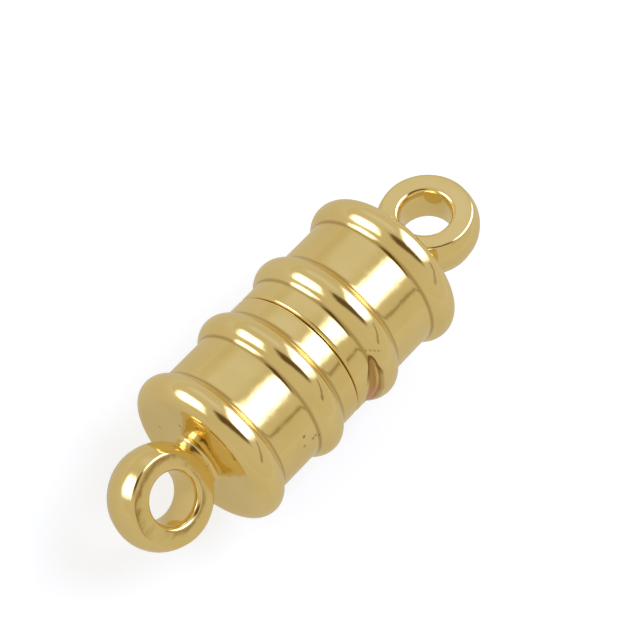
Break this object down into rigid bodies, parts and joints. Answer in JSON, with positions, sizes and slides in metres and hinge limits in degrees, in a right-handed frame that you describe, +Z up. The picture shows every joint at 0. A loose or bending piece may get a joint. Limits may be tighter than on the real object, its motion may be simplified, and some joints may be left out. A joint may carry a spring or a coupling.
{
  "type": "magnetic clasp",
  "caption": "Gold-plated barrel clasp for a necklace or bracelet: beaded half shells with end loops, held together by disc magnets and pulled straight apart.",
  "frame": {"origin": "middle of the seam between the two halves, on the clasp's own axis", "axes": "+X along the clasp's axis from the near half to the far half, +Z up from the surface that it lies on"},
  "size_m": [0.0204, 0.007, 0.007],
  "materials": {
    "gold_plating": "polished pale gold plating",
    "magnet_plating": "bright nickel plating"
  },
  "bodies": {
    "near_half": {"near_shell": "gold_plating", "near_magnet": "magnet_plating"},
    "far_core": {"far_magnet": "magnet_plating"},
    "far_half": {"far_shell": "gold_plating"}
  },
  "joints": [
    {"name": "pull_apart", "type": "slide", "parent": "near_half", "child": "far_core", "axis": [1, 0, 0], "range_m": [0, 0.012]},
    {"name": "far_turn", "type": "hinge", "parent": "far_core", "child": "far_half", "pos_m": [0.0015, 0, 0], "axis": [1, 0, 0], "continuous": true}
  ]
}
